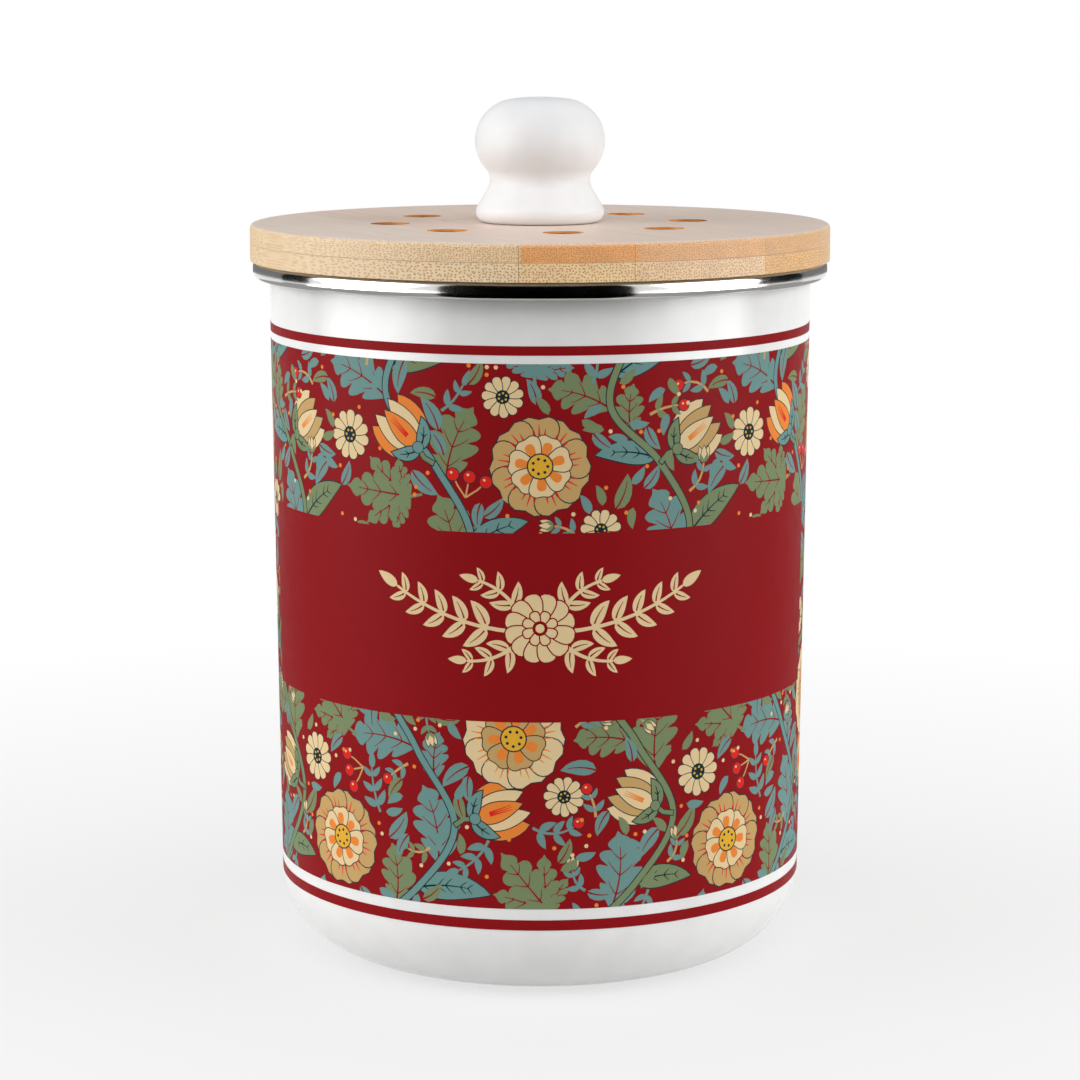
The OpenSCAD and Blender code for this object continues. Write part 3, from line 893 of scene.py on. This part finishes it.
def sheet_face(s, depth):
    """One face of the sheet, at a depth in it, from the middle of the base to the curl's end."""
    draft = math.degrees(DRAFT)
    corner_x = wall_r(s, 0) - s.corner_r * (1 - math.sin(DRAFT)) / math.cos(DRAFT)
    dome_x = corner_x - s.stand_w - s.step_w
    dome_r = (dome_x ** 2 + s.dome_h ** 2) / (2 * s.dome_h)
    dome_a = math.degrees(math.asin(dome_x / dome_r))
    out_x, _, top = reach("canister_shell")
    curl_z = top - s.curl_r
    curl_in_x = wall_r(s, curl_z) - s.sheet_t + s.curl_r
    curl_out_x = out_x - s.curl_r
    curl_end_x = wall_r(s, curl_z - s.curl_r) + s.curl_slot
    round_r = s.curl_r - s.sheet_t + depth
    low = arc(corner_x, s.corner_r, s.corner_r - depth, -90, -draft, 3)
    high = arc(curl_in_x, curl_z, round_r, 180, 90, 7.5)
    wall = [(low[-1][0] + (high[0][0] - low[-1][0]) * t, low[-1][1] + (high[0][1] - low[-1][1]) * t)
            for t in (0.02, 0.25, 0.5, 0.75, 0.98)]
    return (
        arc(0, s.step_h + s.dome_h - dome_r + depth, dome_r, 90, 90 - dome_a, 0.15)
        + [(corner_x - s.stand_w, depth)]
        + low + wall + high
        + arc(curl_out_x, curl_z, round_r, 90, -90, 7.5)
        + [(curl_end_x, curl_z - round_r)]
    )


def band_face(s, out, square=2.0):
    """One face of the rim band, at a distance from the curl. A square above 2 flattens its side."""
    out_x, _, top = reach("canister_shell")
    curl_z = top - s.curl_r
    curl_in_x = wall_r(s, curl_z) - s.sheet_t + s.curl_r
    curl_out_x = out_x - s.curl_r
    r = s.curl_r + out
    bulge = [
        (curl_out_x + r * (x / r) ** (2 / square), curl_z + math.copysign(r * abs(z / r) ** (2 / square), z))
        for x, z in arc(0, 0, r, 89.999, -89.999, 3)
    ]
    return arc(curl_in_x, curl_z, r, 120, 90, 5) + bulge + [(curl_out_x - s.band_lip, curl_z - r)]


# ---------------------------------------------------------------- operators

class CADDY_OT_canister(bpy.types.Operator):
    """Draws the canister from one steel sheet: domed base, standing ring, wall and rolled mouth"""
    bl_idname = "caddy.canister"
    bl_label = "Enamelled canister"

    def execute(self, context):
        s = sizes(context)
        outline = sheet_face(s, 0) + sheet_face(s, s.sheet_t)[::-1]
        turned_piece("enamelled_canister", outline, "canister", enamel(), "canister_shell")
        return {"FINISHED"}


class CADDY_OT_print(bpy.types.Operator):
    """Fires the print on the wall: two stripes, the flowered field and the plain panel in front"""
    bl_idname = "caddy.print"
    bl_label = "Fired print"

    def execute(self, context):
        s = sizes(context)
        colours = context.scene.caddy_colours
        names = list(CaddyColours.__annotations__)
        inks = [print_ink(key.title(), tuple(getattr(colours, key)) + (1,)) for key in names]
        for name, low, high in (
            ("lower_stripe", s.low_stripe_low, s.low_stripe_high),
            ("upper_stripe", s.high_stripe_low, s.high_stripe_high),
        ):
            piece(name, self.hoop(s, name, low, high), "canister", inks[:1])

        middle = (s.field_low + s.field_high) / 2
        art = flowered_repeat(math.pi / 2 * wall_r(s, middle), s.field_high - s.field_low)
        for k, side in enumerate(("front", "right", "back", "left")):
            name = "flowered_print_" + side
            mesh = self.mosaic(s, name, art.width, self.quarter(s, art, k), names, k)
            piece(name, mesh, "canister", inks)
        return {"FINISHED"}

    def hoop(self, s, name, low, high):
        """A printed band right round the wall."""
        spots = [(math.tau * i / FACETS, z) for z in (low, high) for i in range(FACETS)]
        faces = [(i - 1, i, FACETS + i, FACETS + i - 1) for i in range(1, FACETS)]
        return self.on_wall(s, name, spots, faces + [(FACETS - 1, 0, FACETS, 2 * FACETS - 1)])

    def on_wall(self, s, name, spots, faces):
        """A mesh on the wall from (angle, height) pairs, shaded exactly as the wall's cone."""
        points, normals = [], []
        for a, z in spots:
            r = (wall_r(s, z) + s.print_lift) * MM
            points.append((r * math.cos(a), r * math.sin(a), z * MM))
            normals.append((math.cos(a) * math.cos(DRAFT), math.sin(a) * math.cos(DRAFT), -math.sin(DRAFT)))
        mesh = bpy.data.meshes.new(name)
        mesh.from_pydata(points, [], faces)
        mesh.shade_smooth()
        mesh.normals_split_custom_set_from_vertices(normals)
        return mesh

    def quarter(self, s, art, k):
        """The flat outlines of one quarter of the wall, from the lowest layer to the highest."""
        def box(x0, x1, y0, y1):
            return [complex(x0, y0), complex(x1, y0), complex(x1, y1), complex(x0, y1)]

        w, h = art.width, art.height
        turn = k if k < 3 else -1
        left, right = (max(0, min(w, w / 2 + side * s.panel_w / 2 - turn * w)) for side in (-1, 1))
        low, high = s.panel_low - s.field_low, s.panel_high - s.field_low
        out = [("ground", box(0, w, 0, h))]
        for ink, outline in art.shapes:
            for shift in (-w, 0, w):
                xs, ys = [p.real + shift for p in outline], [p.imag for p in outline]
                off = max(xs) < 0 or min(xs) > w or max(ys) < 0 or min(ys) > h
                under = min(xs) > left and max(xs) < right and min(ys) > low and max(ys) < high
                if not off and not under:
                    out.append((ink, [p + shift for p in outline]))
        if right > left:
            out.append(("ground", box(left, right, low, high)))
        if k == 0:
            front = Repeat(w, h)
            panel_spray(front, complex(w / 2, (low + high) / 2))
            out += front.shapes
        return out

    def mosaic(self, s, name, width, shapes, names, k):
        """Cuts overlapping outlines into one sheet of triangles, each in the ink that lies on top."""
        spots, loops = [], []
        for _, outline in shapes:
            ring = list(range(len(spots), len(spots) + len(outline)))
            if sum((a.conjugate() * b).imag for a, b in zip(outline, outline[1:] + outline[:1])) < 0:
                ring.reverse()
            # A ring has to start on a plain stretch: a thin leaf may cross itself near its ends.
            start = len(ring) // 4
            loops.append(ring[start:] + ring[:start])
            spots += [(p.real, p.imag) for p in outline]
        # Upright cuts, one for each facet of the wall, bend the sheet round it.
        height = shapes[0][1][2].imag
        cuts = [width * i / (FACETS // 4) for i in range(1, FACETS // 4)]
        lines = [(len(spots) + 2 * i, len(spots) + 2 * i + 1) for i in range(len(cuts))]
        spots += [(x, y) for x in cuts for y in (0.0, height)]
        found, _, triangles, _, _, owners = geometry.delaunay_2d_cdt(spots, lines, loops, 1, 1e-5, True)
        kept, slots, used = [], [], {}
        for corners, owner in zip(triangles, owners):
            a, b, c = (complex(*found[i]) for i in corners)
            if 0 not in owner or abs(((b - a).conjugate() * (c - a)).imag) < 1e-7:
                continue
            middle = (a + b + c) / 3
            top = next(n for n in sorted(owner, reverse=True) if n == 0 or inside(shapes[n][1], middle))
            kept.append([used.setdefault(i, len(used)) for i in corners])
            slots.append(names.index(shapes[top][0]))
        flat = [found[i] for i in used]
        around = [(math.radians(90 * (k - 1) + 90 * (x / width - 0.5)), s.field_low + y) for x, y in flat]
        mesh = self.on_wall(s, name, around, kept)
        mesh.polygons.foreach_set("material_index", slots)
        places = mesh.uv_layers.new(name="OFBake").data
        for loop, place in zip(mesh.loops, places):
            p = flat[loop.vertex_index]
            place.uv = (p[0] / width, p[1] / height)
        return mesh


class CADDY_OT_rim(bpy.types.Operator):
    """Presses the stainless band round the rolled mouth"""
    bl_idname = "caddy.rim"
    bl_label = "Rim band"

    def execute(self, context):
        s = sizes(context)
        outline = band_face(s, s.band_gap) + band_face(s, s.band_gap + s.band_t, s.band_square)[::-1]
        turned_piece("polished_rim", outline, "canister", rim_steel(), "rim_band", 360)
        return {"FINISHED"}


VENTS, VENT_TURN = 8, 8.5  # how many, and how far round the first one is, in degrees
SEAM = 0.02  # half the seam between the boards
# Where each bamboo strip of a board starts, across the grain, and the colour of its cut end
UPPER_STRIPS = ((-BOARD_R, "FADCB0"), (-42.3, "FCB87A"), (-14.4, "F0BC88"), (26.5, "E4B88A"), (53, "E0BC90"))
LOWER_STRIPS = ((-BOARD_R, "FCE4BC"), (-42.3, "FFDEAC"), (-14.4, "F6D4AA"), (26.5, "EABE88"), (53, "E2B884"))


class CADDY_OT_lid(bpy.types.Operator):
    """Turns the lid's two bamboo boards and drills the vents and the knob's hole"""
    bl_idname = "caddy.lid"
    bl_label = "Bamboo lid"

    def execute(self, context):
        s = sizes(context)
        r, low, seam = reach("lid_lower_ply")
        top = reach("lid_upper_ply")[2]
        edge = 0.1
        upper = (
            [(0, seam + SEAM), (r - edge, seam + SEAM), (r, seam + edge)]
            + arc(r - s.round_top, top - s.round_top, s.round_top, 0, 90, 9)
            + [(r - s.round_top - 0.4, top), (0, top)]
        )
        lower = (
            [(0, seam - SEAM), (0, low), (r - s.round_low - 0.4, low)]
            + arc(r - s.round_low, low + s.round_low, s.round_low, -90, 0, 9)
            + [(r, seam - edge), (r - edge, seam - SEAM)]
        )
        vent = [(0, low - 1), (s.vent_r, low - 1), (s.vent_r, top - s.vent_bevel),
                (s.vent_r + s.vent_bevel * 0.3, top - s.vent_bevel * 0.7),
                (s.vent_r + s.vent_bevel, top), (s.vent_r + s.vent_bevel * 2, top + 1), (0, top + 1)]
        hole_r = reach("knob_screw")[0] * 0.58  # the screw's shank with room round it
        hole = [(0, low - 1), (hole_r, low - 1), (hole_r, top + 1), (0, top + 1)]
        washer_r, _, washer_top = reach("knob_washer")
        recess = [(0, low - 1), (washer_r + 0.5, low - 1), (washer_r + 0.5, washer_top), (0, washer_top)]
        # The holes' walls: a darker brown, painted shade over the colour of cut bamboo.
        shadowed = drilled_bamboo()
        for board, outline, node, strips, spacing in (
            ("upper", upper, "lid_upper_ply", UPPER_STRIPS, 0.56),
            ("lower", lower, "lid_lower_ply", LOWER_STRIPS, 0.76),
        ):
            finish = bamboo(f"Bamboo strips, glued and oiled, {board} board", strips, spacing)
            made = turned_piece(f"bamboo_{board}_board", outline, "lid", finish, node)
            bits = [bit(turned("Bit", hole, 48), shadowed)]
            if node == "lid_lower_ply":
                bits.append(bit(turned("Bit", recess, 96), shadowed))
            for i in range(VENTS):
                a = math.radians(VENT_TURN + 360 / VENTS * i)
                x, y = s.vent_ring_r * math.cos(a), s.vent_ring_r * math.sin(a)
                bits.append(bit(turned("Bit", vent, 64), shadowed, x, y))
            drill(made, bits)
            steady(made)
        return {"FINISHED"}


class CADDY_OT_plug(bpy.types.Operator):
    """Turns the plug ring under the lid and fits the two-lipped seal in its groove"""
    bl_idname = "caddy.plug"
    bl_label = "Plug ring and seal"

    def execute(self, context):
        r, low, high = reach("lid_plug_ring")
        lip_r, groove_low, groove_high = reach("lid_seal")
        width, depth = 16.4, 2.2  # of the ring, and of the groove
        bore = r - width
        outline = [
            (bore, low + 0.3), (bore + 0.3, low), (r - 1.5, low), (r, low + 1.5), (r, groove_low),
            (r - depth, groove_low), (r - depth, groove_high), (r, groove_high), (r, high), (bore, high),
        ]
        finish = bamboo("Bamboo strips, glued and oiled, plug ring", UPPER_STRIPS, 0.6)
        steady(turned_piece("bamboo_plug_ring", outline, "lid", finish, "lid_plug_ring"))

        pitch = (groove_high - groove_low) / 2
        lip_low = groove_low + pitch / 2 - 0.6

        def lip(z):
            return [(r, z), (lip_r - 0.1, z + 0.95), (lip_r, z + 1.05), (lip_r, z + 1.35),
                    (lip_r - 0.1, z + 1.45), (r, z + 1.2)]

        outline = (
            [(r - depth + 0.05, groove_low), (r, groove_low)] + lip(lip_low) + lip(lip_low + pitch)
            + [(r, groove_high), (r - depth + 0.05, groove_high)]
        )
        turned_piece("silicone_seal", outline, "lid", seal_silicone(), "lid_seal")
        return {"FINISHED"}


class CADDY_OT_filter(bpy.types.Operator):
    """Moulds the slotted tray under the lid and lays the charcoal felt in it"""
    bl_idname = "caddy.filter"
    bl_label = "Filter tray and felt"

    def execute(self, context):
        refinish("filter_tray", tray_plastic())
        r, low, high = reach("filter_pad")
        outline = (
            [(0, low), (r - 0.6, low)] + arc(r - 0.5, low + 0.5, 0.5, -90, 0, 18)
            + [(r - 0.25, (low + high) / 2)] + arc(r - 0.9, high - 0.9, 0.9, 0, 90, 18)
            + [(r * 0.8, high - 0.02), (r * 0.5, high), (0, high)]
        )
        finish = charcoal_felt()
        felt = turned_piece("charcoal_felt", outline, "filter", finish, "filter_pad")
        return {"FINISHED"}


class CADDY_OT_knob(bpy.types.Operator):
    """Casts the porcelain knob: a bun-shaped head on a waisted foot"""
    bl_idname = "caddy.knob"
    bl_label = "Porcelain knob"

    def execute(self, context):
        s = sizes(context)
        r, low, _ = reach("knob")
        insert_r, _, insert_top = reach("knob_insert")
        head_x, hollow_x, foot_x = r - s.head_r, s.waist_r + s.hollow_r, s.foot_w - s.foot_r
        head_z = s.waist_h + math.sqrt((s.head_r + s.hollow_r) ** 2 - (hollow_x - head_x) ** 2)
        crown_z = head_z - math.sqrt((s.crown_r - s.head_r) ** 2 - head_x ** 2)
        crown_a = math.degrees(math.atan2(head_z - crown_z, head_x))
        neck_a = math.degrees(math.atan2(head_z - s.waist_h, head_x - hollow_x))
        slope_d = math.hypot(hollow_x - foot_x, s.waist_h - s.foot_r)
        slope_a = (math.degrees(math.atan2(s.waist_h - s.foot_r, hollow_x - foot_x)
                                + math.asin((s.hollow_r + s.foot_r) / slope_d)) - 90)
        bore = insert_r + 0.1
        outline = (
            [(0, insert_top + 0.1), (bore, insert_top + 0.1), (bore, low)]
            + [(x, low + z) for x, z in (
                arc(foot_x, s.foot_r, s.foot_r, -90, slope_a, 3)
                + arc(hollow_x, s.waist_h, s.hollow_r, 180 + slope_a, neck_a, 3)
                + arc(head_x, head_z, s.head_r, neck_a - 180, crown_a, 3)
                + arc(0, crown_z, s.crown_r, crown_a, 90, 0.5))]
        )
        outline[-1] = (0, outline[-1][1])
        turned_piece("porcelain_knob", outline, "lid", knob_glaze(), "knob")
        return {"FINISHED"}


class CADDY_OT_fixings(bpy.types.Operator):
    """Finishes the knob's threaded insert, screw and washer"""
    bl_idname = "caddy.fixings"
    bl_label = "Knob fixings"

    def execute(self, context):
        brass = turned_metal("Brass, turned", "C9A45C", 0.3)
        steel = turned_metal("Stainless steel, turned", "C4C6C8", 0.28)
        for node, finish in (("knob_insert", brass), ("knob_screw", steel), ("knob_washer", steel)):
            refinish(node, finish)
        return {"FINISHED"}


# ---------------------------------------------------------------- the stage

CAMERA_AT = (0, -0.9216, 0.2655)
CAMERA_DOWN = 9.361  # degrees below the horizon
CAMERA_LENS, CAMERA_WIDTH = 110.85, 36
FLOOR_R = 4.0
SOFTBOXES = (  # name, place, watts, width
    ("Left softbox", (-1.6, -0.5, 0.6), 23.2, 1.7),
    ("Right softbox", (1.6, -0.5, 0.6), 23.2, 1.7),
    ("Overhead softbox", (0.0, -1.3, 1.9), 18, 1.5),
)


def upright(low):
    """A card's profile, from a height to overhead: (radius, height) pairs in metres."""
    return ((1.6, low), (1.6, 1.6), (0.3, 1.7))


def level(near, far):
    """A card's profile on the floor."""
    return ((near, 0.001), (far, 0.001))


FLAG, BACK, HIGH = upright(0.001), upright(0.05), upright(0.03)
MAT, NEAR, SIDE, FAR = level(0.12, 1.6), level(0.14, 0.9), level(0.25, 1.3), level(0.9, 1.75)
# How bright each group of cards is, then (start, end, profile) for each card, in degrees from the
# camera's side.
CARDS = {
    0.0: ((-39, 36, MAT), (-39, 36, FLAG)),
    0.01: ((-121, -101, HIGH), (94, 125, HIGH)),
    0.22: ((125, 239, BACK),),
    0.4: ((-101, -39, NEAR), (36, 94, NEAR), (94, 125, SIDE), (125, 239, NEAR), (239, 259, SIDE)),
    2.0: ((-38, -44, FAR), (38, 44, FAR)),
    3.6: ((-44, -50, FAR), (44, 50, FAR)),
    5.2: ((-50, -56, FAR), (50, 56, FAR)),
    6.8: ((-56, -62, FAR), (56, 62, FAR)),
    7.5: ((-95, -62, FAR), (62, 91, FAR)),
    3.5: ((-102, -95, FAR), (91, 98, FAR)),
}


class CADDY_OT_stage(bpy.types.Operator):
    """Lays the floor, hangs the lights and the cards, and sets the camera"""
    bl_idname = "caddy.stage"
    bl_label = "Floor, lights and camera"

    def execute(self, context):
        scene = context.scene
        scene.view_settings.view_transform = "Standard"
        self.floor()
        self.cards()
        self.lights()
        self.world(scene)
        lens = bpy.data.cameras.new("Camera")
        lens.lens, lens.sensor_width, lens.clip_end = CAMERA_LENS, CAMERA_WIDTH, 50
        scene.camera = put_in("Camera", lens, CAMERA_AT)
        scene.camera.rotation_euler = (math.radians(90 - CAMERA_DOWN), 0, 0)
        return {"FINISHED"}

    def sheet(self, name, points, faces, finish):
        """A flat-faced part of the stage."""
        mesh = bpy.data.meshes.new(name)
        mesh.from_pydata(points, [], faces)
        mesh.materials.append(finish)
        made = put_in(name, mesh)
        return made

    def seen(self, tree, ray):
        """Whether a ray comes from the camera or from a glossy surface."""
        return maths(tree, "MAXIMUM", ray.outputs["Is Camera Ray"], ray.outputs["Is Glossy Ray"])

    def floor(self):
        # A matt white sweep: it keeps the shadow and the reflected light near the object, and turns
        # to plain white further out, where it meets the white surroundings. In front it sends back
        # little light, like a dark mat that the camera doesn't see.
        made, tree = blank(bpy.data.materials, "White paper sweep")
        ray = add(tree, "LightPath")
        place = add(tree, "TexCoord").outputs["Object"]
        front = spread(tree, add(tree, "SeparateXYZ", {0: place}).outputs["Y"], -0.1, -0.35)
        mat = maths(tree, "MULTIPLY", front, ray.outputs["Is Diffuse Ray"])
        paper = add(tree, "BsdfDiffuse", {"Color": blend(tree, mat, linear("D2D2D2"), linear("484848"))})
        white = add(tree, "Emission", {"Color": (1, 1, 1, 1), "Strength": 1.0})
        away = add(tree, "VectorMath", {0: place}, operation="LENGTH").outputs["Value"]
        part = maths(tree, "MULTIPLY", self.seen(tree, ray), spread(tree, away, 0.1, 0.45, 0.7, 1.0))
        add(tree, "OutputMaterial", {"Surface": add(tree, "MixShader", {0: part, 1: paper, 2: white})})
        turns = [math.radians(5 * i) for i in range(72)]
        edge = [(FLOOR_R * math.cos(a), FLOOR_R * math.sin(a), -0.0002) for a in turns]
        self.sheet("floor", edge, [tuple(range(len(edge)))], made)

    def cards(self):
        # Cards for the polished rim, the enamel and the glaze to reflect: black ones in front and at
        # the sides, grey ones near the object, bright ones further out on the floor. The upright
        # one in front is a flag that also keeps light off the front, and only glossy surfaces see
        # the others. Each turns its profile through an arc, in flat steps of about 4 degrees.
        for bright, arcs in CARDS.items():
            made, tree = blank(bpy.data.materials, f"Card, grey {bright}")
            light = add(tree, "Emission", {"Color": (bright, bright, bright, 1), "Strength": 1.0})
            add(tree, "OutputMaterial", {"Surface": light})
            for start, end, profile in arcs:
                steps = max(1, round(abs(end - start) / 4))
                turns = [math.radians(start + (end - start) * k / steps - 90) for k in range(steps + 1)]
                points = [(r * math.cos(a), r * math.sin(a), z) for r, z in profile for a in turns]
                row = len(turns)
                faces = [(i, i + 1, i + 1 + row, i + row)
                         for i in range(len(points) - row) if i % row < steps]
                card = self.sheet("card", points, faces, made)
                card.visible_camera = card.visible_shadow = False
                card.visible_diffuse = profile is FLAG
                card.visible_transmission = card.visible_volume_scatter = False

    def lights(self):
        for name, place, power, wide in SOFTBOXES:
            lamp = bpy.data.lights.new(name, "AREA")
            lamp.shape, lamp.size, lamp.energy = "DISK", wide, power
            made = put_in(name, lamp, place)
            made.rotation_euler = self.towards(place, (0, 0, 0.12))
            made.visible_camera = False

    def towards(self, place, target):
        x, y, z = (t - p for p, t in zip(place, target))
        return (math.atan2(math.hypot(x, y), -z), 0, math.atan2(-x, y))

    def world(self, scene):
        world, tree = blank(bpy.data.worlds, "White surroundings")
        ray = add(tree, "LightPath")
        through = maths(tree, "MAXIMUM", self.seen(tree, ray), ray.outputs["Is Transmission Ray"])
        strength = spread(tree, through, 0, 1, 0.45, 1.0)
        sky = add(tree, "Background", {"Color": (1, 1, 1, 1), "Strength": strength})
        add(tree, "OutputWorld", {"Surface": sky})
        scene.world = world


STEPS = (
    CADDY_OT_stage, CADDY_OT_canister, CADDY_OT_print, CADDY_OT_rim, CADDY_OT_lid, CADDY_OT_plug,
    CADDY_OT_filter, CADDY_OT_knob, CADDY_OT_fixings,
)


class CADDY_PT_panel(bpy.types.Panel):
    bl_idname = "CADDY_PT_panel"
    bl_label = "Compost caddy"
    bl_space_type = "VIEW_3D"
    bl_region_type = "UI"
    bl_category = "Caddy"

    def draw(self, context):
        for step in STEPS:
            self.layout.operator(step.bl_idname)
        for label, group, keys in (
            ("Sizes", context.scene.caddy_sizes, CaddySizes.__annotations__),
            ("Colours", context.scene.caddy_colours, CaddyColours.__annotations__),
        ):
            box = self.layout.box()
            box.label(text=label)
            for key in keys:
                box.prop(group, key)


CLASSES = (CaddySizes, CaddyColours) + STEPS + (CADDY_PT_panel,)


def register():
    for cls in CLASSES:
        bpy.utils.register_class(cls)
    bpy.types.Scene.caddy_sizes = bpy.props.PointerProperty(type=CaddySizes)
    bpy.types.Scene.caddy_colours = bpy.props.PointerProperty(type=CaddyColours)


def unregister():
    del bpy.types.Scene.caddy_colours
    del bpy.types.Scene.caddy_sizes
    for cls in reversed(CLASSES):
        bpy.utils.unregister_class(cls)


def main():
    register()
    for step in STEPS:
        group, name = step.bl_idname.split(".")
        getattr(getattr(bpy.ops, group), name)()


if __name__ == "__main__":
    main()
